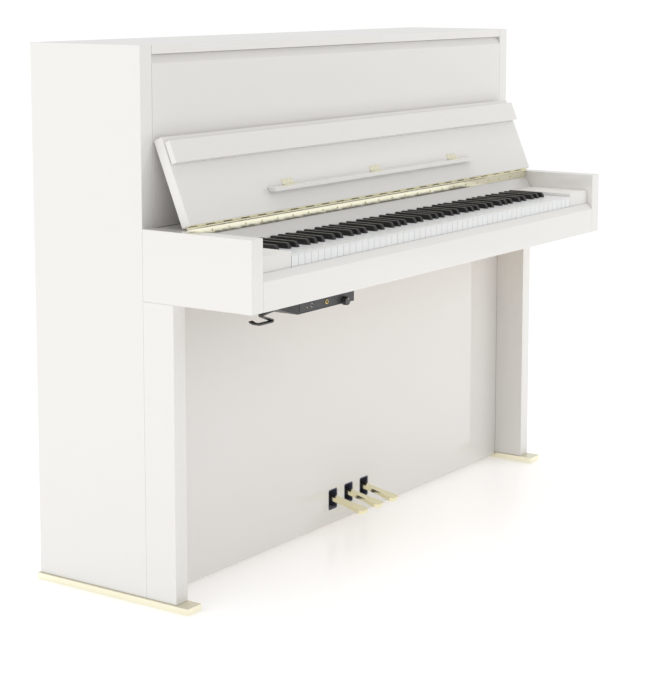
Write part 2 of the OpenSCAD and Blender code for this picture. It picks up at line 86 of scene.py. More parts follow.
def mixed(tree, amount, first, second):
    """The colour between two others."""
    node = shade(tree, "ShaderNodeMix", data_type="RGBA")
    for index, value in ((0, amount), (6, first), (7, second)):
        if isinstance(value, bpy.types.NodeSocket):
            tree.links.new(value, node.inputs[index])
        else:
            node.inputs[index].default_value = value
    return node.outputs[2]


def spread(tree, value, low, high):
    """A 0 to 1 value stretched to run from low to high."""
    node = shade(tree, "ShaderNodeMapRange", {"Value": value, "To Min": low, "To Max": high})
    return node.outputs["Result"]


def sums(tree, how, a, b, c=0.0):
    """One step of arithmetic."""
    return shade(tree, "ShaderNodeMath", {0: a, 1: b, 2: c}, operation=how).outputs[0]


def noise(tree, where, scale, detail=2.0, rough=0.5):
    """A cloud of noise, from 0 to 1."""
    fill = {"Vector": where, "Scale": scale, "Detail": detail, "Roughness": rough}
    return shade(tree, "ShaderNodeTexNoise", fill).outputs["Fac"]


def stretched(tree, place, scale):
    """A place with its axes scaled, so that a pattern is drawn out along some of them."""
    return shade(tree, "ShaderNodeMapping", {"Vector": place, "Scale": scale}).outputs["Vector"]


def finish(name, group, values, bump=(0.3, 0.0002), **surface):
    """A material whose colour, roughness and relief come from one of the effects."""
    material = bpy.data.materials.new(name)
    material.use_nodes = True
    tree = material.node_tree
    principled = tree.nodes["Principled BSDF"]
    effect_node = shade(tree, "ShaderNodeGroup", node_tree=group)
    for key, value in values.items():
        effect_node.inputs[key].default_value = value
    place = shade(tree, "ShaderNodeTexCoord")
    tree.links.new(place.outputs["Object"], effect_node.inputs["Place"])
    tree.links.new(effect_node.outputs["Colour"], principled.inputs["Base Color"])
    tree.links.new(effect_node.outputs["Roughness"], principled.inputs["Roughness"])
    relief = shade(tree, "ShaderNodeBump", {
        "Strength": bump[0], "Distance": bump[1], "Height": effect_node.outputs["Height"]})
    tree.links.new(relief.outputs["Normal"], principled.inputs["Normal"])
    for key, value in surface.items():
        principled.inputs[key.replace("_", " ")].default_value = value
    return material


def sprayed_and_buffed():
    """Buffed lacquer: a faint orange peel, soft buffing swirls and a trace of dust."""
    group, takes, gives = effect("buffed_lacquer", {
        "Colour": ("c", (0.8, 0.8, 0.8, 1)), "Depth Tint": ("c", (0.7, 0.7, 0.7, 1)),
        "Peel Scale": ("v", 160), "Gloss": ("v", 0.05), "Swirls": ("v", 0.05)})
    place = takes.outputs["Place"]
    cloud = noise(group, place, 2.3, 3.0)
    depth = spread(group, cloud, 0.0, 0.55)
    tint = mixed(group, depth, takes.outputs["Colour"], takes.outputs["Depth Tint"])
    specks = noise(group, place, 900.0, 1.0)
    dust = sums(group, "GREATER_THAN", specks, 0.79)
    dusted = mixed(group, sums(group, "MULTIPLY", dust, 0.25), tint, (0.62, 0.6, 0.56, 1))
    swirl = shade(group, "ShaderNodeTexWave", {
        "Vector": place, "Scale": 9.0, "Distortion": 14.0, "Detail": 3.0, "Detail Scale": 1.6},
        wave_type="RINGS")
    haze = sums(group, "MULTIPLY", swirl.outputs["Fac"], takes.outputs["Swirls"])
    smear = sums(group, "MULTIPLY", noise(group, place, 7.0, 4.0, 0.6), takes.outputs["Swirls"])
    rough = sums(group, "ADD", sums(group, "ADD", haze, smear), takes.outputs["Gloss"])
    peel = noise(group, place, takes.outputs["Peel Scale"], 2.0, 0.4)
    give(group, gives, dusted, rough, peel)
    return group


LACQUER = sprayed_and_buffed()


def white_lacquer(name, colour, tint, swirls=0.02):
    """White polyester: a full clear coat over a slightly warm white."""
    return finish(name, LACQUER, {
        "Colour": (*colour, 1), "Depth Tint": (*tint, 1), "Gloss": 0.03, "Swirls": swirls},
        bump=(0.1, 0.00003), Coat_Weight=0.6, Coat_Roughness=0.02, Specular_IOR_Level=0.55)


def dress(node, material):
    """Puts a material on a CAD node or a piece."""
    piece = nodes[node] if isinstance(node, str) else node
    piece.data.materials.clear()
    piece.data.materials.append(material)
    return piece


def ease(node, width, segments=3, angle=28.0, merge_flats=True):
    """Rounds the sharp edges of a CAD node or a piece and keeps its flats flat."""
    piece = nodes[node] if isinstance(node, str) else node
    mesh = piece.data
    if "custom_normal" in mesh.attributes:
        mesh.attributes.remove(mesh.attributes["custom_normal"])
    mesh.polygons.foreach_set("use_smooth", [True] * len(mesh.polygons))
    weld = piece.modifiers.new("joined", "WELD")
    weld.merge_threshold = 0.00001
    if merge_flats:
        flat = piece.modifiers.new("flats", "DECIMATE")
        flat.decimate_type = "DISSOLVE"
        flat.angle_limit = math.radians(0.5)
    bevel = piece.modifiers.new("eased", "BEVEL")
    bevel.width = width
    bevel.segments = segments
    bevel.limit_method = "ANGLE"
    bevel.angle_limit = math.radians(angle)
    bevel.use_clamp_overlap = True
    bevel.miter_outer = "MITER_ARC"
    normals = piece.modifiers.new("shading", "WEIGHTED_NORMAL")
    normals.mode = "FACE_AREA"
    normals.keep_sharp = False
    return piece


CASE_WHITE = white_lacquer("case_white", (0.80, 0.79, 0.765), (0.785, 0.77, 0.745))
for piece_name in ("side_left", "side_right", "leg_left", "leg_right", "arm_left", "arm_right"):
    dress(ease(piece_name, 1.2 * MM), CASE_WHITE)


# ---------------------------------------------------------------------------
# Base strips.
# Flat bars of polished brass under the case sides, screwed up from below, with a hand-eased edge.
# ---------------------------------------------------------------------------
def lapped_metal():
    """Polished metal: fine lapping lines along X, small scratches and a breath of tarnish."""
    group, takes, gives = effect("lapped_metal", {
        "Colour": ("c", (0.9, 0.85, 0.6, 1)), "Tarnish": ("c", (0.6, 0.5, 0.25, 1)),
        "Tarnish Amount": ("v", 0.2), "Line Scale": ("v", 900), "Polish": ("v", 0.12)})
    place = takes.outputs["Place"]
    along = stretched(group, place, (0.02, 1.0, 1.0))
    lines = noise(group, along, takes.outputs["Line Scale"], 4.0, 0.7)
    patches = noise(group, place, 28.0, 5.0, 0.65)
    stain = sums(group, "POWER", patches, 2.2)
    stain = sums(group, "MULTIPLY", stain, takes.outputs["Tarnish Amount"])
    tinted = mixed(group, stain, takes.outputs["Colour"], takes.outputs["Tarnish"])
    rough = sums(group, "MULTIPLY_ADD", lines, 0.08, takes.outputs["Polish"])
    rough = sums(group, "ADD", rough, sums(group, "MULTIPLY", stain, 0.3))
    give(group, gives, tinted, rough, lines)
    return group


METAL = lapped_metal()


def polished_brass(name, colour, tarnish, amount, polish=0.12):
    """Lacquered yellow brass, buffed bright."""
    return finish(name, METAL, {
        "Colour": (*colour, 1), "Tarnish": (*tarnish, 1), "Tarnish Amount": amount, "Polish": polish},
        bump=(0.06, 0.00002), Metallic=1.0)


STRIP_BRASS = polished_brass("strip_brass", (0.93, 0.895, 0.72), (0.74, 0.68, 0.45), 0.25, 0.08)
for piece_name in ("base_strip_left", "base_strip_right"):
    dress(ease(piece_name, 0.9 * MM), STRIP_BRASS)


# ---------------------------------------------------------------------------
# Back frame, bottom board and soundboard.
# Five spruce posts between two beams, a bottom board of plain spruce, and a sheet of fine spruce
# 8 mm thick with ribs glued across its back and two hard bridges on its front.
# ---------------------------------------------------------------------------
def sawn_wood():
    """Planed timber: growth rings drawn out along the grain, pores and a little uneven colour."""
    group, takes, gives = effect("sawn_wood", {
        "Stretch": ("d", (1, 1, 0.06)), "Early Wood": ("c", (0.7, 0.55, 0.35, 1)),
        "Late Wood": ("c", (0.5, 0.34, 0.18, 1)), "Ring Scale": ("v", 60), "Dryness": ("v", 0.55)})
    grain = stretched(group, takes.outputs["Place"], takes.outputs["Stretch"])
    rings = shade(group, "ShaderNodeTexWave", {
        "Vector": grain, "Scale": takes.outputs["Ring Scale"], "Distortion": 5.0, "Detail": 3.0,
        "Detail Scale": 1.4, "Detail Roughness": 0.55}, wave_type="BANDS", bands_direction="DIAGONAL")
    fibre = noise(group, grain, 700.0, 5.0, 0.7)
    cloud = noise(group, takes.outputs["Place"], 3.5, 3.0)
    ring_mask = sums(group, "POWER", rings.outputs["Fac"], 2.5)
    mask = sums(group, "MULTIPLY_ADD", fibre, 0.35, sums(group, "MULTIPLY", ring_mask, 0.65))
    mask = sums(group, "MULTIPLY_ADD", cloud, 0.3, sums(group, "SUBTRACT", mask, 0.15))
    tinted = mixed(group, mask, takes.outputs["Early Wood"], takes.outputs["Late Wood"])
    rough = sums(group, "MULTIPLY_ADD", fibre, 0.2, takes.outputs["Dryness"])
    give(group, gives, tinted, rough, mask)
    return group


WOOD = sawn_wood()
ALONG_X = (0.06, 1.0, 1.0)
ALONG_Y = (1.0, 0.06, 1.0)
ALONG_Z = (1.0, 1.0, 0.06)


def timber(name, early, late, along, rings=60.0, dryness=0.45, **surface):
    """A plain or varnished wood with its grain one way."""
    return finish(name, WOOD, {
        "Early Wood": (*early, 1), "Late Wood": (*late, 1), "Stretch": along, "Ring Scale": rings,
        "Dryness": dryness}, bump=(0.35, 0.00035), **surface)


POST_SPRUCE = timber("post_spruce", (0.66, 0.48, 0.28), (0.46, 0.28, 0.13), ALONG_Z, 45.0)
BOARD_SPRUCE = timber("board_spruce", (0.62, 0.46, 0.28), (0.44, 0.28, 0.14), ALONG_X, 38.0)
SOUND_SPRUCE = timber("sound_spruce", (0.74, 0.55, 0.30), (0.55, 0.35, 0.15), (1.0, 1.0, 0.9), 110.0, 0.28,
                      Coat_Weight=0.4, Coat_Roughness=0.15)
RIB_SPRUCE = timber("rib_spruce", (0.76, 0.60, 0.38), (0.58, 0.40, 0.20), ALONG_X, 70.0)
dress(ease("back_frame", 1.0 * MM, 2, merge_flats=False), POST_SPRUCE)
dress(ease("bottom_board", 1.0 * MM), BOARD_SPRUCE)
dress(ease("soundboard", 0.4 * MM), SOUND_SPRUCE)
dress(ease("ribs_and_bridge", 1.0 * MM), RIB_SPRUCE)


# ---------------------------------------------------------------------------
# Pin block, iron plate, strings and tuning pins.
# A block of laminated beech behind a sand-cast iron harp, which is ground, filled and sprayed
# bronze-gold; steel wire in the treble, copper-wound wire in the bass, on blued steel pins.
# ---------------------------------------------------------------------------
def sand_casting():
    """Painted casting: the coarse skin of the sand under a metallic paint with settled flake."""
    group, takes, gives = effect("sand_casting", {
        "Colour": ("c", (0.6, 0.42, 0.16, 1)), "Flake": ("c", (0.9, 0.72, 0.4, 1)),
        "Grit Scale": ("v", 420), "Sheen": ("v", 0.32)})
    place = takes.outputs["Place"]
    grit = noise(group, place, takes.outputs["Grit Scale"], 4.0, 0.6)
    flake = sums(group, "POWER", noise(group, place, 2600.0, 1.0), 3.0)
    tinted = mixed(group, flake, takes.outputs["Colour"], takes.outputs["Flake"])
    rough = sums(group, "MULTIPLY_ADD", grit, 0.25, takes.outputs["Sheen"])
    swell = sums(group, "MULTIPLY_ADD", noise(group, place, 60.0, 2.0), 1.4, grit)
    give(group, gives, tinted, rough, swell)
    return group


CASTING = sand_casting()
PLATE_BRONZE = finish("plate_bronze", CASTING, {
    "Colour": (0.55, 0.37, 0.13, 1), "Flake": (0.85, 0.66, 0.34, 1)},
    bump=(0.35, 0.0006), Metallic=0.75)
PIN_BEECH = timber("pin_beech", (0.52, 0.32, 0.17), (0.36, 0.20, 0.09), ALONG_X, 150.0)
dress(ease("iron_plate", 0.8 * MM, 2, 50.0, merge_flats=False), PLATE_BRONZE)
dress(ease("pin_block", 0.6 * MM), PIN_BEECH)


def islands(node):
    """The corner points of each separate solid in a CAD node, from left to right."""
    bm = bmesh.new()
    bm.from_mesh(nodes[node].data)
    bmesh.ops.remove_doubles(bm, verts=bm.verts, dist=0.000002)
    left = set(bm.verts)
    found = []
    while left:
        queue = [left.pop()]
        points = []
        while queue:
            vert = queue.pop()
            points.append(vert.co.copy())
            for edge in vert.link_edges:
                other = edge.other_vert(vert)
                if other in left:
                    left.discard(other)
                    queue.append(other)
        found.append(points)
    bm.free()
    return sorted(found, key=lambda points: sum(p.x for p in points) / len(points))


def limits(points):
    """The lowest and the highest corner round some points."""
    low = Vector([min(p[k] for p in points) for k in range(3)])
    high = Vector([max(p[k] for p in points) for k in range(3)])
    return low, high


def made(name, bm, body):
    """A new piece from a bmesh, riding on a body."""
    mesh = bpy.data.meshes.new(name)
    bm.to_mesh(mesh)
    bm.free()
    piece = bpy.data.objects.new(name, mesh)
    bpy.context.scene.collection.objects.link(piece)
    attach(piece, body)
    return piece


def skin(bm, loops):
    """Faces between each loop of corners and the next."""
    for first, second in zip(loops, loops[1:]):
        for i in range(len(first)):
            j = (i + 1) % len(first)
            bm.faces.new((first[i], first[j], second[j], second[i]))


def tube(bm, path, radii, sides=12):
    """A round bar through the path's points, with a radius at each point."""
    rings = []
    for k, point in enumerate(path):
        before = path[max(k - 1, 0)]
        after = path[min(k + 1, len(path) - 1)]
        ahead = (after - before).normalized()
        across = ahead.orthogonal() if k == 0 else across - ahead * across.dot(ahead)
        across.normalize()
        up = ahead.cross(across)
        ring = []
        for i in range(sides):
            turn = 2 * math.pi * i / sides
            ring.append(bm.verts.new(point + (across * math.cos(turn) + up * math.sin(turn)) * radii[k]))
        rings.append(ring)
    skin(bm, rings)
    bm.faces.new(rings[0][::-1])
    bm.faces.new(rings[-1])


def drawn_wire():
    """Wire seen close: bright steel, or copper wound on in a tight helix."""
    group, takes, gives = effect("drawn_wire", {
        "Colour": ("c", (0.7, 0.7, 0.7, 1)), "Turns": ("v", 300), "Winding": ("v", 0.0)})
    place = takes.outputs["Place"]
    turn = shade(group, "ShaderNodeTexWave", {"Vector": place, "Scale": takes.outputs["Turns"]},
                 wave_type="BANDS", bands_direction="Z").outputs["Fac"]
    groove = sums(group, "MULTIPLY", turn, takes.outputs["Winding"])
    dull = noise(group, place, 40.0, 3.0)
    amount = sums(group, "MULTIPLY", dull, 0.4)
    tinted = mixed(group, amount, takes.outputs["Colour"], (0.25, 0.2, 0.16, 1))
    rough = sums(group, "MULTIPLY_ADD", dull, 0.2, 0.18)
    give(group, gives, tinted, rough, groove)
    return group


WIRE = drawn_wire()
STEEL_WIRE = finish("steel_wire", WIRE, {"Colour": (0.68, 0.69, 0.71, 1)}, Metallic=1.0)
COPPER_WIRE = finish("copper_wire", WIRE, {"Colour": (0.78, 0.36, 0.2, 1), "Winding": 1.0},
                     bump=(0.8, 0.0004), Metallic=1.0)


def strung():
    """Plain and wound strings, each along the axis of its CAD wire."""
    plain = bmesh.new()
    wound = bmesh.new()
    for points in islands("strings"):
        ordered = sorted(points, key=lambda p: p.z)
        half = len(ordered) // 2
        foot = sum(ordered[:half], Vector()) / half
        head = sum(ordered[half:], Vector()) / half
        radius = max((p - foot).length for p in ordered[:half])
        if radius > 0.001:
            start = foot.lerp(head, 0.03)
            end = foot.lerp(head, 0.95)
            tube(wound, [start, end], [radius, radius], 10)
            tube(plain, [foot, head], [radius * 0.45] * 2, 8)
        else:
            tube(plain, [foot, head], [radius, radius], 8)
    steel = dress(made("steel_strings", plain, "case"), STEEL_WIRE)
    copper = dress(made("wound_strings", wound, "case"), COPPER_WIRE)
    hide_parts("strings")
    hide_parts("strings")
    for piece in (steel, copper):
        piece.data.polygons.foreach_set("use_smooth", [True] * len(piece.data.polygons))


strung()
BLUED_STEEL = finish("blued_steel", METAL, {
    "Colour": (0.22, 0.24, 0.30, 1), "Tarnish": (0.10, 0.09, 0.08, 1), "Tarnish Amount": 0.6,
    "Polish": 0.2}, Metallic=1.0)


def pinned():
    """Tuning pins: a round blued shank, three coils of wire and a squared head."""
    bm = bmesh.new()
    for points in islands("tuning_pins"):
        low, high = limits(points)
        mid = (low + high) / 2
        radius = 3.3 * MM
        neck = Vector((mid.x, low.y + 11 * MM, mid.z))
        tube(bm, [Vector((mid.x, high.y, mid.z)), neck], [radius] * 2, 16)
        for k in range(3):
            y = high.y - (5 + 1.5 * k) * MM
            tube(bm, [Vector((mid.x, y - 0.7 * MM, mid.z)), Vector((mid.x, y, mid.z)),
                      Vector((mid.x, y + 0.7 * MM, mid.z))], [radius, radius * 1.2, radius], 16)
        tube(bm, [neck, Vector((mid.x, low.y, mid.z))], [radius * 1.05, radius * 0.86], 4)
    piece = dress(made("tuning_pins_blued", bm, "case"), BLUED_STEEL)
    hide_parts("tuning_pins")


pinned()


# ---------------------------------------------------------------------------
# Key bed and key frame.
# A thick panel of jointed spruce across the arms; on it a frame of three beech rails, the middle
# one rounded where the keys rock on it.
# ---------------------------------------------------------------------------
BED_SPRUCE = timber("bed_spruce", (0.66, 0.50, 0.31), (0.46, 0.31, 0.16), ALONG_X, 32.0)
FRAME_BEECH = timber("frame_beech", (0.62, 0.43, 0.27), (0.48, 0.30, 0.17), ALONG_X, 120.0)
dress(ease("key_bed", 1.0 * MM), BED_SPRUCE)
dress(ease("key_frame", 0.8 * MM), FRAME_BEECH)


# ---------------------------------------------------------------------------
# Keys.
# Spruce sticks with the grain lengthwise. Each white one carries a moulded top with a nose and a
# front plate, with softened edges; each black one carries a tapered block with a sloping front.
# ---------------------------------------------------------------------------
def handled_plastic():
    """Moulded key covering: a soft polish with fine scratches along the key and finger haze."""
    group, takes, gives = effect("handled_plastic", {
        "Colour": ("c", (0.9, 0.9, 0.88, 1)), "Worn": ("c", (0.85, 0.84, 0.8, 1)),
        "Gloss": ("v", 0.2), "Scratch Scale": ("v", 1200)})
    place = takes.outputs["Place"]
    along = stretched(group, place, (1.0, 0.03, 1.0))
    scratch = noise(group, along, takes.outputs["Scratch Scale"], 3.0, 0.6)
    haze = noise(group, place, 45.0, 4.0, 0.6)
    each = noise(group, stretched(group, place, (1.0, 0.0, 0.0)), 36.0, 0.0)
    worn = sums(group, "MULTIPLY_ADD", haze, 0.3, sums(group, "MULTIPLY", each, 0.6))
    tinted = mixed(group, worn, takes.outputs["Colour"], takes.outputs["Worn"])
    rough = sums(group, "MULTIPLY_ADD", scratch, 0.1, takes.outputs["Gloss"])
    rough = sums(group, "MULTIPLY_ADD", haze, 0.08, rough)
    give(group, gives, tinted, rough, scratch)
    return group


PLASTIC = handled_plastic()
KEY_WHITE = finish("key_white", PLASTIC, {
    "Colour": (0.81, 0.82, 0.825, 1), "Worn": (0.78, 0.785, 0.785, 1), "Gloss": 0.16},
    bump=(0.1, 0.00005), Subsurface_Weight=0.06, Subsurface_Scale=0.002)
KEY_BLACK = finish("key_black", PLASTIC, {
    "Colour": (0.012, 0.012, 0.013, 1), "Worn": (0.022, 0.021, 0.02, 1), "Gloss": 0.26},
    bump=(0.12, 0.00005))
KEY_SPRUCE = timber("key_spruce", (0.76, 0.60, 0.38), (0.60, 0.42, 0.22), ALONG_Y, 90.0)
TOP_THICK = 2.4 * MM
VISIBLE_LENGTH = 172 * MM
BLOCK_TALL = 12.8 * MM


def prism(bm, outline, z0, z1):
    """A solid standing on an outline of points in X and Y."""
    low = [bm.verts.new((x, y, z0)) for x, y in outline]
    high = [bm.verts.new((x, y, z1)) for x, y in outline]
    bm.faces.new(low[::-1])
    bm.faces.new(high)
    skin(bm, [low, high])


def block(bm, low, high):
    """A squared solid between two corners."""
    outline = [(low[0], low[1]), (high[0], low[1]), (high[0], high[1]), (low[0], high[1])]
    prism(bm, outline, low[2], high[2])


def key_outline(points, front, back):
    """The plan of one white key: a full-width head and a tail cut back beside the black keys."""
    low, high = limits(points)
    tail = [p for p in points if p.y > high.y - MM]
    t0 = min(p.x for p in tail)
    t1 = max(p.x for p in tail)
    step = [p.y for p in points if low.y + 5 * MM < p.y < high.y - MM]
    shoulder = min(step) if step else back
    plan = [(low.x, front), (high.x, front)]
    if high.x - t1 > 0.1 * MM:
        plan += [(high.x, shoulder), (t1, shoulder)]
    plan += [(t1, back), (t0, back)]
    if t0 - low.x > 0.1 * MM:
        plan += [(t0, shoulder), (low.x, shoulder)]
    return plan


def white_keys(note):
    """All the white keys of one note: spruce sticks under moulded tops."""
    node = f"keys_{note}"
    sticks = bmesh.new()
    tops = bmesh.new()
    for points in islands(node):
        low, high = limits(points)
        under = min(p.z for p in points if p.y > low.y + 5 * MM)
        prism(sticks, key_outline(points, low.y + 1.6 * MM, high.y), under, high.z - TOP_THICK)
        prism(tops, key_outline(points, low.y, low.y + VISIBLE_LENGTH), high.z - TOP_THICK, high.z)
        block(tops, (low.x, low.y, low.z), (high.x, low.y + 1.5 * MM, high.z - TOP_THICK - 0.1 * MM))
    wood = dress(made(f"key_sticks_{note}", sticks, f"{node}_set"), KEY_SPRUCE)
    cover = dress(made(f"key_tops_{note}", tops, f"{node}_set"), KEY_WHITE)
    ease(wood, 0.4 * MM, 1)
    ease(cover, 0.4 * MM, 3)
    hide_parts(node)
    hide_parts(node)


def black_keys(note):
    """All the black keys of one note: tapered blocks glued on spruce sticks."""
    node = f"keys_{note}"
    sticks = bmesh.new()
    blocks = bmesh.new()
    for points in islands(node):
        low, high = limits(points)
        cap_back = max(p.y for p in points if p.z > high.z - MM)
        base = high.z - BLOCK_TALL
        block(sticks, (low.x + 0.2 * MM, low.y + MM, low.z), (high.x - 0.2 * MM, high.y, base))
        inset = 0.6 * MM
        foot = [(low.x, low.y), (high.x, low.y), (high.x, cap_back), (low.x, cap_back)]
        knee = [(low.x + 0.3 * MM, low.y + 2.6 * MM), (high.x - 0.3 * MM, low.y + 2.6 * MM),
                (high.x - 0.3 * MM, cap_back), (low.x + 0.3 * MM, cap_back)]
        crown = [(low.x + inset, low.y + 7.0 * MM), (high.x - inset, low.y + 7.0 * MM),
                 (high.x - inset, cap_back), (low.x + inset, cap_back)]
        rings = []
        for plan, z in ((foot, base), (knee, base + 7.5 * MM), (crown, high.z)):
            rings.append([blocks.verts.new((x, y, z)) for x, y in plan])
        blocks.faces.new(rings[0][::-1])
        blocks.faces.new(rings[2])
        skin(blocks, rings)
    wood = dress(made(f"key_sticks_{note}", sticks, f"{node}_set"), KEY_SPRUCE)
    cover = dress(made(f"key_blocks_{note}", blocks, f"{node}_set"), KEY_BLACK)
    ease(wood, 0.4 * MM, 1)
    ease(cover, 0.7 * MM, 3, 8.0)
    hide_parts(node)
    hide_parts(node)


for note_name in ("a", "b", "c", "d", "e", "f", "g"):
    white_keys(note_name)
for note_name in ("a_sharp", "c_sharp", "d_sharp", "f_sharp", "g_sharp"):
    black_keys(note_name)


# ---------------------------------------------------------------------------
# Action.
# Two cast brackets and a beech rail; a hammer for each note with a maple moulding, a dowel shank
# and a felt head pressed round it; a felted rest rail, sprung dampers and the drop-in muffler felt.
# ---------------------------------------------------------------------------
def pressed_felt():
    """Felt: a matted nap with lighter fibre ends and small lumps."""
    group, takes, gives = effect("pressed_felt", {
        "Colour": ("c", (0.1, 0.1, 0.3, 1)), "Fibre Tips": ("c", (0.2, 0.2, 0.45, 1)),
        "Nap Scale": ("v", 900)})
    place = takes.outputs["Place"]
    nap = noise(group, place, takes.outputs["Nap Scale"], 5.0, 0.75)
    lumps = noise(group, place, 140.0, 3.0)
    tips = sums(group, "POWER", nap, 1.8)
    tinted = mixed(group, tips, takes.outputs["Colour"], takes.outputs["Fibre Tips"])
    rough = sums(group, "MULTIPLY_ADD", lumps, 0.1, 0.88)
    matted = sums(group, "MULTIPLY_ADD", lumps, 1.2, nap)
    give(group, gives, tinted, rough, matted)
    return group


FELT = pressed_felt()


def felt(name, colour, tips):
    """Woven or pressed wool felt."""
    return finish(name, FELT, {"Colour": (*colour, 1), "Fibre Tips": (*tips, 1)},
                  bump=(0.7, 0.0009), Sheen_Weight=0.4, Sheen_Roughness=0.6)


HAMMER_FELT = felt("hammer_wool", (0.72, 0.68, 0.58), (0.86, 0.83, 0.76))
RED_FELT = felt("red_felt", (0.32, 0.03, 0.03), (0.5, 0.09, 0.08))
MAPLE = timber("maple", (0.72, 0.55, 0.36), (0.58, 0.40, 0.23), ALONG_Z, 100.0)
CAST_METAL = finish("cast_metal", CASTING, {
    "Colour": (0.36, 0.36, 0.37, 1), "Flake": (0.5, 0.5, 0.5, 1), "Sheen": 0.4},
    bump=(0.3, 0.0004), Metallic=0.8)


def hammers():
    """Each hammer: moulding and shank in maple, and a rounded head of felt."""
    woods = bmesh.new()
    felts = bmesh.new()
    for points in islands("hammers"):
        low, high = limits(points)
        mid = (low.x + high.x) / 2
        strike = max(points, key=lambda p: p.y)
        butt = [p for p in points if p.z < low.z + 40 * MM]
        foot, hip = limits(butt)
        block(woods, (mid - 4 * MM, foot.y, foot.z), (mid + 4 * MM, hip.y, foot.z + 24 * MM))
        top = Vector((mid, low.y + 11 * MM, strike.z))
        tube(woods, [Vector((mid, (foot.y + hip.y) / 2, foot.z + 20 * MM)), top], [2.8 * MM] * 2, 12)
        block(woods, (mid - 4.5 * MM, low.y, strike.z - 4 * MM),
              (mid + 4.5 * MM, low.y + 24 * MM, strike.z + 5 * MM))
        arc = []
        for k in range(17):
            turn = math.radians(-150 + 300 * k / 16)
            reach = 17 * MM * (1 + 0.35 * math.cos(turn / 2) ** 4)
            arc.append((strike.y - 19 * MM + reach * math.cos(turn), strike.z + 13 * MM * math.sin(turn)))
        near = [felts.verts.new((low.x, y, z)) for y, z in arc]
        far = [felts.verts.new((high.x, y, z)) for y, z in arc]
        felts.faces.new(near[::-1])
        felts.faces.new(far)
        skin(felts, [near, far])
    wood = dress(made("hammer_mouldings", woods, "hammer_line"), MAPLE)
    wool = dress(made("hammer_felts", felts, "hammer_line"), HAMMER_FELT)
    ease(wood, 0.5 * MM, 2)
    ease(wool, 1.2 * MM, 3, 40.0)
    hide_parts("hammers")
    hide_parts("hammers")


hammers()
dress(ease("action_rails", 1.0 * MM, 2), CAST_METAL)
dress(ease("hammer_rest_rail", 3.0 * MM, 4), RED_FELT)
dress("dampers", CAST_METAL)
MUFFLER_GREEN = felt("muffler_green", (0.05, 0.18, 0.08), (0.12, 0.3, 0.16))
dress(ease("muffler_felt", 0.5 * MM, 2), MUFFLER_GREEN)


def damper_felts():
    """A pad of felt on the face of each damper arm."""
    bm = bmesh.new()
    inner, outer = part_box("dampers")
    arms = {}
    for vert in nodes["dampers"].data.vertices:
        if vert.co.z > inner.z + 80 * MM:
            arms.setdefault(round(vert.co.x, 4), []).append(vert.co)
    edges = sorted(arms)
    for left, right in zip(edges[0::2], edges[1::2]):
        low, high = limits(arms[left] + arms[right])
        block(bm, (low.x - 0.4 * MM, high.y - 4.5 * MM, low.z - MM),
              (high.x + 0.4 * MM, high.y - 0.2 * MM, high.z + MM))
    piece = dress(made("damper_felts", bm, "damper_line"), HAMMER_FELT)
    ease(piece, 0.9 * MM, 2)


damper_felts()


# ---------------------------------------------------------------------------
# Lower panel, pedals and their bracket.
# A lacquered panel with three slots bushed in dark blue felt; three cast and polished brass pedals
# on one steel rod, held by a black bracket screwed to the bottom board.
# ---------------------------------------------------------------------------
# The panel white is the case white made a little darker: painted shade on the lower panel under the key bed,
# and on the upper panel and name board.
PANEL_SHADED_WHITE = white_lacquer("panel_shaded_white", (0.78, 0.765, 0.745), (0.765, 0.75, 0.728))
PEDAL_BRASS = polished_brass("pedal_brass", (0.92, 0.87, 0.60), (0.66, 0.58, 0.30), 0.2, 0.05)
NAVY_FELT = felt("navy_felt", (0.012, 0.014, 0.05), (0.06, 0.07, 0.16))
dress(ease("lower_panel", 0.8 * MM), PANEL_SHADED_WHITE)
dress(ease("slot_felts", 0.5 * MM, 2), NAVY_FELT)
dress(ease("pedal_bracket", 0.5 * MM, 2), CAST_METAL)
for piece_name in ("pedal_left", "pedal_middle", "pedal_right"):
    dress(ease(piece_name, 1.4 * MM, 4, merge_flats=False), PEDAL_BRASS)


# ---------------------------------------------------------------------------
# Upper panel, name board, key slip and key blocks.
# Lacquered parts between the sides: the panel's top edge slopes back under the lid, the name board
# is moulded forward over the keys, and the slip is chamfered in front of them.
# ---------------------------------------------------------------------------
# The upper panel and name board take the darker panel white, which paints in shade.
dress(ease("upper_panel", 0.8 * MM), PANEL_SHADED_WHITE)
dress(ease("name_board", 0.8 * MM), PANEL_SHADED_WHITE)
dress(ease("key_slip", 0.9 * MM), CASE_WHITE)
BLOCK_WHITE = finish("block_white", LACQUER, {
    "Colour": (0.80, 0.79, 0.765, 1), "Depth Tint": (0.785, 0.77, 0.745, 1), "Gloss": 0.42, "Swirls": 0.04},
    bump=(0.1, 0.00003), Specular_IOR_Level=0.3)
dress(ease("key_blocks", 0.8 * MM), BLOCK_WHITE)


# ---------------------------------------------------------------------------
# Fallboard, its hinge, the lip and the music ledge.
# A lacquered board on a full-length brass piano hinge, with countersunk slotted screws; a lip on
# strap hinges folds flat on it, and a narrow ledge on three small hinges folds out for music.
# ---------------------------------------------------------------------------
# The board white is the case white made a little lighter: painted light on the fallboard, its lip and the
# ledge.
BOARD_LIT_WHITE = white_lacquer("board_lit_white", (0.81, 0.80, 0.775), (0.795, 0.782, 0.758), 0.01)
HINGE_BRASS = polished_brass("hinge_brass", (0.93, 0.90, 0.72), (0.78, 0.72, 0.48), 0.12, 0.05)
SCREW_BRASS = polished_brass("screw_brass", (0.80, 0.74, 0.52), (0.52, 0.45, 0.24), 0.3, 0.12)
BOARD_LEAN = math.radians(22.5)
HINGE_SEED = 4
LEDGE_SEED = 9
dress(ease("fallboard", 1.2 * MM), BOARD_LIT_WHITE)
dress(ease("fallboard_lip", 1.2 * MM), BOARD_LIT_WHITE)
dress(ease("music_ledge", 0.5 * MM), BOARD_LIT_WHITE)
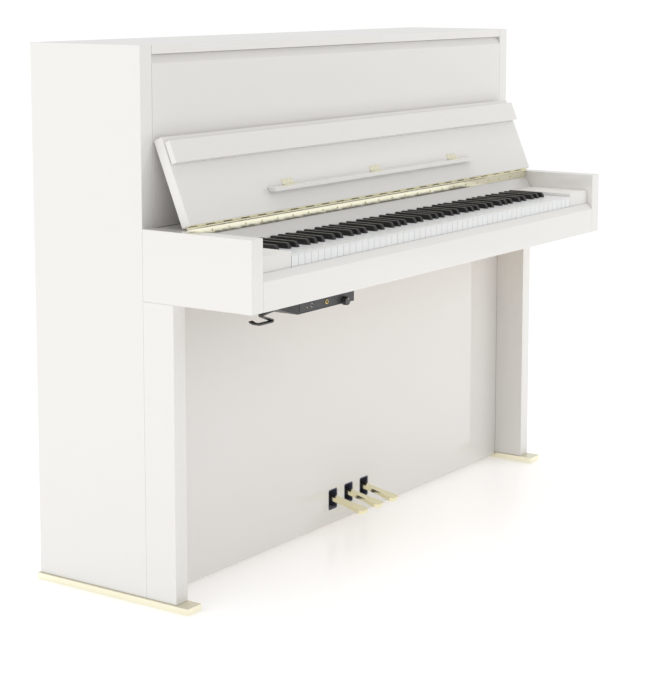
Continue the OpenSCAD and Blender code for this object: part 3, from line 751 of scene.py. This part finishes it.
for piece_name in ("fallboard_hinge_fixed_leaf", "fallboard_hinge_moving_leaf", "lip_hinges",
                   "ledge_hinge_fixed_leaves", "ledge_hinge_moving_leaves"):
    dress(piece_name, HINGE_BRASS)


def screw_head(bm, centre, out, across, radius, turn):
    """A slotted countersunk head standing a hair proud, facing out."""
    up = out.cross(across)
    side = across * math.cos(turn) + up * math.sin(turn)
    along = out.cross(side)
    slot = radius * 0.16
    for hand in (-1, 1):
        start = math.acos(slot / radius)
        outline = [centre + side * (hand * slot) + along * (radius * math.sin(start))]
        for k in range(1, 12):
            a = start - 2 * start * k / 12
            outline.append(centre + side * (hand * radius * math.cos(a)) + along * (radius * math.sin(a)))
        outline.append(centre + side * (hand * slot) - along * (radius * math.sin(start)))
        low = [bm.verts.new(p) for p in outline]
        crown = [bm.verts.new(centre + (p - centre) * 0.82 + out * (radius * 0.22)) for p in outline]
        bm.faces.new(crown)
        bm.faces.new(low[::-1])
        skin(bm, [low, crown])
    bmesh.ops.recalc_face_normals(bm, faces=bm.faces)


def hinge_screws():
    """The row of screws along the hinge's lower leaf."""
    rng = random.Random(HINGE_SEED)
    bm = bmesh.new()
    for points in islands("hinge_screws"):
        low, high = limits(points)
        mid = (low + high) / 2
        spot = Vector((mid.x, high.y - 0.05 * MM, mid.z))
        screw_head(bm, spot, Vector((0, -1, 0)), Vector((1, 0, 0)), 2.9 * MM, rng.uniform(0, math.pi))
    piece = dress(made("hinge_screw_heads", bm, "case"), SCREW_BRASS)
    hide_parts("hinge_screws")


def leaf_faces(node, out):
    """The corners of each leaf's outer face, found as the large faces that look one way."""
    mesh = nodes[node].data
    groups = {}
    for polygon in mesh.polygons:
        if polygon.normal.dot(out) > 0.999:
            points = [mesh.vertices[i].co.copy() for i in polygon.vertices]
            low, high = limits(points)
            if high.x - low.x > 30 * MM:
                groups.setdefault(round(sum(p.x for p in points) / len(points), 1), []).extend(points)
    return [groups[middle] for middle in sorted(groups)]


def ledge_screws():
    """Three small screws in each of the ledge hinge leaves on the board."""
    rng = random.Random(LEDGE_SEED)
    bm = bmesh.new()
    out = Vector((0, -math.cos(BOARD_LEAN), math.sin(BOARD_LEAN)))
    for points in leaf_faces("ledge_hinge_fixed_leaves", out):
        low, high = limits(points)
        centre = sum(points, Vector()) / len(points)
        for k in (-1, 0, 1):
            spot = centre + Vector((k * 0.36 * (high.x - low.x), 0, 0)) - out * (0.05 * MM)
            screw_head(bm, spot, out, Vector((1, 0, 0)), 1.7 * MM, rng.uniform(0, math.pi))
    dress(made("ledge_hinge_screws", bm, "fallboard"), SCREW_BRASS)


hinge_screws()
ledge_screws()


# ---------------------------------------------------------------------------
# Top lid and its hinge.
# A lacquered board let in between the sides, opening to the back on a brass hinge.
# ---------------------------------------------------------------------------
dress(ease("top_lid", 1.2 * MM), CASE_WHITE)
for piece_name in ("lid_hinge_fixed_leaf", "lid_hinge_moving_leaf"):
    dress(piece_name, HINGE_BRASS)


# ---------------------------------------------------------------------------
# Silent-play unit and headphone hook.
# A dark box screwed under the key bed, with a painted face, two sockets in metal rings and a
# milled volume knob; beside it a hook bent from flat bar and coated black.
# ---------------------------------------------------------------------------
def powder_coat():
    """Dark coating with a fine sparkle of texture and greyed patches scattered at random."""
    group, takes, gives = effect("powder_coat", {
        "Colour": ("c", (0.03, 0.03, 0.03, 1)), "Scuffs": ("c", (0.09, 0.09, 0.09, 1)),
        "Grain Scale": ("v", 1500), "Sheen": ("v", 0.35)})
    place = takes.outputs["Place"]
    grain = noise(group, place, takes.outputs["Grain Scale"], 3.0, 0.6)
    wear = sums(group, "POWER", noise(group, place, 60.0, 5.0, 0.6), 2.5)
    worn = mixed(group, wear, takes.outputs["Colour"], takes.outputs["Scuffs"])
    rough = sums(group, "MULTIPLY_ADD", grain, 0.2, takes.outputs["Sheen"])
    give(group, gives, worn, rough, grain)
    return group


COAT = powder_coat()
BOX_GREY = finish("box_grey", COAT, {"Colour": (0.02, 0.02, 0.022, 1)}, bump=(0.25, 0.00015))
FACE_GREY = finish("face_grey", COAT, {
    "Colour": (0.038, 0.038, 0.04, 1), "Scuffs": (0.07, 0.07, 0.07, 1), "Sheen": 0.28}, bump=(0.12, 0.0001))
HOOK_BLACK = finish("hook_black", COAT, {"Colour": (0.018, 0.018, 0.018, 1), "Sheen": 0.22},
                    bump=(0.2, 0.00012), Coat_Weight=0.3)
NICKEL = finish("nickel", METAL, {
    "Colour": (0.62, 0.61, 0.58, 1), "Tarnish": (0.3, 0.28, 0.24, 1), "Polish": 0.16}, Metallic=1.0)
GILT = finish("gilt", METAL, {
    "Colour": (0.90, 0.72, 0.34, 1), "Tarnish": (0.5, 0.36, 0.14, 1), "Polish": 0.14}, Metallic=1.0)
dress(ease("control_box", 1.2 * MM), BOX_GREY)

unit_low, unit_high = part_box("control_box")
SOCKET_Z = unit_low.z + 13 * MM
SOCKETS = (unit_low.x + 124 * MM, unit_low.x + 176 * MM)
KNOB_X = unit_low.x + 242 * MM
KNOB_Z = unit_low.z + 6 * MM


def unit_face():
    """The printed face: a thin plate with round holes for the sockets and the knob."""
    curve = bpy.data.curves.new("control_face", "CURVE")
    curve.dimensions = "2D"
    curve.fill_mode = "BOTH"
    curve.extrude = 0.35 * MM
    x0, x1 = unit_low.x + 80 * MM, unit_high.x - 4 * MM
    z0, z1 = unit_low.z + 3 * MM, unit_high.z - 4 * MM
    corner = 3 * MM
    rim = []
    for cx, cz, start in ((x1 - corner, z1 - corner, 0), (x0 + corner, z1 - corner, 90),
                          (x0 + corner, z0 + corner, 180), (x1 - corner, z0 + corner, 270)):
        for k in range(5):
            turn = math.radians(start + 22.5 * k)
            rim.append((cx + corner * math.cos(turn), cz + corner * math.sin(turn)))
    outlines = [rim]
    for x, z, radius in ((SOCKETS[0], SOCKET_Z, 4.6), (SOCKETS[1], SOCKET_Z, 4.6), (KNOB_X, KNOB_Z, 3.2)):
        circle = []
        for k in range(32):
            turn = 2 * math.pi * k / 32
            circle.append((x + radius * MM * math.cos(turn), z + radius * MM * math.sin(turn)))
        outlines.append(circle)
    for outline in outlines:
        spline = curve.splines.new("POLY")
        spline.points.add(len(outline) - 1)
        for point, (x, z) in zip(spline.points, outline):
            point.co = (x, z, 0, 1)
        spline.use_cyclic_u = True
    drawing = bpy.data.objects.new("face_drawing", curve)
    mesh = bpy.data.meshes.new_from_object(drawing)
    bpy.data.objects.remove(drawing)
    upright = Matrix.Rotation(math.radians(90), 4, "X")
    mesh.transform(Matrix.Translation((0, unit_low.y - 0.3 * MM, 0)) @ upright)
    plate = bpy.data.objects.new("control_face", mesh)
    bpy.context.scene.collection.objects.link(plate)
    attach(plate, "case")
    dress(plate, FACE_GREY)


def ring(bm, centre, inner, outer, thick):
    """A turned ring standing out toward the front, with a rounded lip."""
    section = [(inner, 0.0), (outer, 0.0), (outer, -0.7), (outer * 0.93, -1.0), (inner * 1.06, -1.0),
               (inner, -0.8)]
    loops = []
    for radius, depth in section:
        loop = []
        for k in range(32):
            turn = 2 * math.pi * k / 32
            offset = Vector((radius * math.cos(turn), depth * thick, radius * math.sin(turn)))
            loop.append(bm.verts.new(centre + offset))
        loops.append(loop)
    skin(bm, loops + loops[:1])


def sockets():
    """A nickel ring and a gilt ring round the two headphone sockets, and a small lamp."""
    for name, x, material, outer, thick in (("socket_ring_left", SOCKETS[0], NICKEL, 4.2, 0.8),
                                             ("socket_ring_right", SOCKETS[1], GILT, 4.8, 3.0)):
        bm = bmesh.new()
        ring(bm, Vector((x, unit_low.y, SOCKET_Z)), 3.3 * MM, outer * MM, thick * MM)
        bmesh.ops.recalc_face_normals(bm, faces=bm.faces)
        dress(made(name, bm, "case"), material)
    lamps = bmesh.new()
    spot = Vector((unit_low.x + 106 * MM, unit_low.y - 0.5 * MM, SOCKET_Z - 2 * MM))
    tube(lamps, [spot, spot + Vector((0, -0.7 * MM, 0)), spot + Vector((0, -1.1 * MM, 0))],
         [1.5 * MM, 1.3 * MM, 0.5 * MM], 16)
    dress(made("unit_lamp", lamps, "case"), GILT)


def volume_knob():
    """A knob with milled flutes, a chamfered rim and a pointer line."""
    low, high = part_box("volume_knob")
    mid = (low + high) / 2
    radius = (high.x - low.x) / 2
    bm = bmesh.new()
    loops = []
    front = high.y - 11 * MM
    for y, scale in ((front, 1.0), (low.y + 2.2 * MM, 0.98), (low.y + 1.2 * MM, 0.9),
                     (low.y + 0.6 * MM, 0.86)):
        loop = []
        for k in range(144):
            turn = 2 * math.pi * k / 144
            flute = 1 - 0.035 * (k % 4 < 2)
            reach = radius * scale * (flute if scale > 0.95 else 1.0)
            loop.append(bm.verts.new((mid.x + reach * math.cos(turn), y, mid.z + reach * math.sin(turn))))
        loops.append(loop)
    bm.faces.new(loops[0])
    bm.faces.new(loops[-1][::-1])
    skin(bm, loops)
    bmesh.ops.recalc_face_normals(bm, faces=bm.faces)
    knob = dress(made("milled_knob", bm, "knob"), HOOK_BLACK)
    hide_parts("volume_knob")
    line = bmesh.new()
    block(line, (mid.x - 0.5 * MM, low.y, mid.z + 3 * MM),
          (mid.x + 0.5 * MM, low.y + 0.8 * MM, mid.z + 7.6 * MM))
    dress(made("knob_pointer", line, "knob"), NICKEL)


def bent_bar(bm, corners, width, thick, wide, bends):
    """A flat bar through some corners, bent round a radius at each, its width along one direction."""
    path = [corners[0]]
    for before, corner, after, bend in zip(corners, corners[1:], corners[2:], bends):
        a = (before - corner).normalized()
        b = (after - corner).normalized()
        for k in range(7):
            t = k / 6
            path.append(corner + a * (bend * (1 - t) ** 2) + b * (bend * t ** 2))
    path.append(corners[-1])
    last_side = wide
    rings = []
    for k, point in enumerate(path):
        ahead = (path[min(k + 1, len(path) - 1)] - path[max(k - 1, 0)]).normalized()
        side = wide - ahead * wide.dot(ahead)
        if side.length < 0.2:
            side = last_side - ahead * last_side.dot(ahead)
        side.normalize()
        last_side = side
        up = ahead.cross(side)
        rings.append([bm.verts.new(point + side * (a * width / 2) + up * (b * thick / 2))
                      for a, b in ((-1, -1), (1, -1), (1, 1), (-1, 1))])
    bm.faces.new(rings[0][::-1])
    bm.faces.new(rings[-1])
    skin(bm, rings)
    bmesh.ops.recalc_face_normals(bm, faces=bm.faces)


def headphone_hook():
    """A flange under the bed, a curl, an arm to the side and a tip turned back."""
    low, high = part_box("headphone_hook")
    bm = bmesh.new()
    block(bm, (high.x - 31 * MM, low.y, high.z - 3 * MM), (high.x, low.y + 44 * MM, high.z))
    x = high.x - 1.6 * MM
    y = low.y + 6 * MM
    z = low.z + 1.6 * MM
    corners = [Vector((x, y, high.z - 3 * MM)), Vector((x, y, z + 22 * MM)),
               Vector((x - 35 * MM, y, z + 19 * MM)), Vector((x - 34 * MM, y, z + 15 * MM)),
               Vector((x, y, z + 4 * MM)), Vector((x - 2 * MM, y, z)), Vector((low.x, y, z))]
    bends = [2.5 * MM, 1.8 * MM, 1.8 * MM, 1.8 * MM, 1.2 * MM]
    bent_bar(bm, corners, 12 * MM, 3 * MM, Vector((0, 1, 0)), bends)
    tip = [Vector((low.x + 6 * MM, low.y + 11 * MM, z)), Vector((low.x + 6 * MM, low.y + 19 * MM, z)),
           Vector((low.x + 6 * MM, low.y + 28 * MM, z + 3.6 * MM))]
    bent_bar(bm, tip, 12 * MM, 2.9 * MM, Vector((1, 0, 0)), [2.5 * MM])
    hook = dress(made("bent_hook", bm, "case"), HOOK_BLACK)
    ease(hook, 0.5 * MM, 2)
    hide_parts("headphone_hook")


unit_face()
sockets()
volume_knob()
headphone_hook()


# ---------------------------------------------------------------------------
# Studio.
# A wide pale floor with a soft polish, one even sky of light, a large lamp from the left, one from
# above and a weaker one from the right, and the camera standing to the left of the keyboard.
# ---------------------------------------------------------------------------
def studio_floor():
    """A pale polished floor that runs past the horizon."""
    bm = bmesh.new()
    bmesh.ops.create_grid(bm, x_segments=1, y_segments=1, size=120.0)
    mesh = bpy.data.meshes.new("studio_floor")
    bm.to_mesh(mesh)
    bm.free()
    floor = bpy.data.objects.new("studio_floor", mesh)
    bpy.context.scene.collection.objects.link(floor)
    floor.location = (0, 0, -0.0005)
    mesh.materials.append(finish("floor_white", LACQUER, {
        "Colour": (0.93, 0.93, 0.93, 1), "Depth Tint": (0.92, 0.92, 0.92, 1), "Gloss": 0.22, "Swirls": 0.03},
        bump=(0.0, 0.00001), Specular_IOR_Level=0.35, Emission_Color=(1, 1, 1, 1), Emission_Strength=0.3))


def lamp(name, place, aim, size, watts):
    """A soft rectangular lamp pointed at a place and left out of every reflection."""
    light = bpy.data.lights.new(name, "AREA")
    light.shape = "RECTANGLE"
    light.size, light.size_y = size
    light.energy = watts
    obj = bpy.data.objects.new(name, light)
    bpy.context.scene.collection.objects.link(obj)
    obj.location = place
    obj.rotation_euler = (Vector(aim) - Vector(place)).to_track_quat("-Z", "Y").to_euler()
    obj.visible_glossy = False


studio_floor()
lamp("left_window", (-5.0, 0.6, 2.2), (0, 0, 0.7), (3.2, 3.2), 46)
lamp("overhead", (0.6, 0.9, 4.6), (0.3, 0.0, 0.4), (4.5, 3.0), 58)
lamp("right_fill", (3.2, -3.0, 1.7), (0.7, -0.1, 0.7), (2.2, 2.0), 24)


def studio_sky():
    """White to the eye, and a little softer as light."""
    world = bpy.data.worlds.new("studio_sky")
    world.use_nodes = True
    tree = world.node_tree
    seen = shade(tree, "ShaderNodeLightPath").outputs["Is Camera Ray"]
    strength = spread(tree, seen, 0.76, 1.06)
    background = tree.nodes["Background"]
    background.inputs["Color"].default_value = (1.0, 0.997, 0.99, 1)
    tree.links.new(strength, background.inputs["Strength"])
    return world


bpy.context.scene.world = studio_sky()
bpy.context.scene.view_settings.view_transform = "Standard"

SENSOR_WIDTH = 36.0
LENS = 97.18
LENS_DROP = -0.18
FAR_CLIP = 400.0
CAMERA_PLACE = (-3.6038, -2.4579, 1.3093)
CAMERA_PITCH = math.radians(82.619)
CAMERA_TURN = math.radians(-55.095)
camera_data = bpy.data.cameras.new("camera")
camera_data.sensor_width = SENSOR_WIDTH
camera_data.lens = LENS
camera_data.shift_y = LENS_DROP
camera_data.clip_end = FAR_CLIP
camera = bpy.data.objects.new("camera", camera_data)
bpy.context.scene.collection.objects.link(camera)
camera.location = CAMERA_PLACE
camera.rotation_euler = (CAMERA_PITCH, 0, CAMERA_TURN)
bpy.context.scene.camera = camera
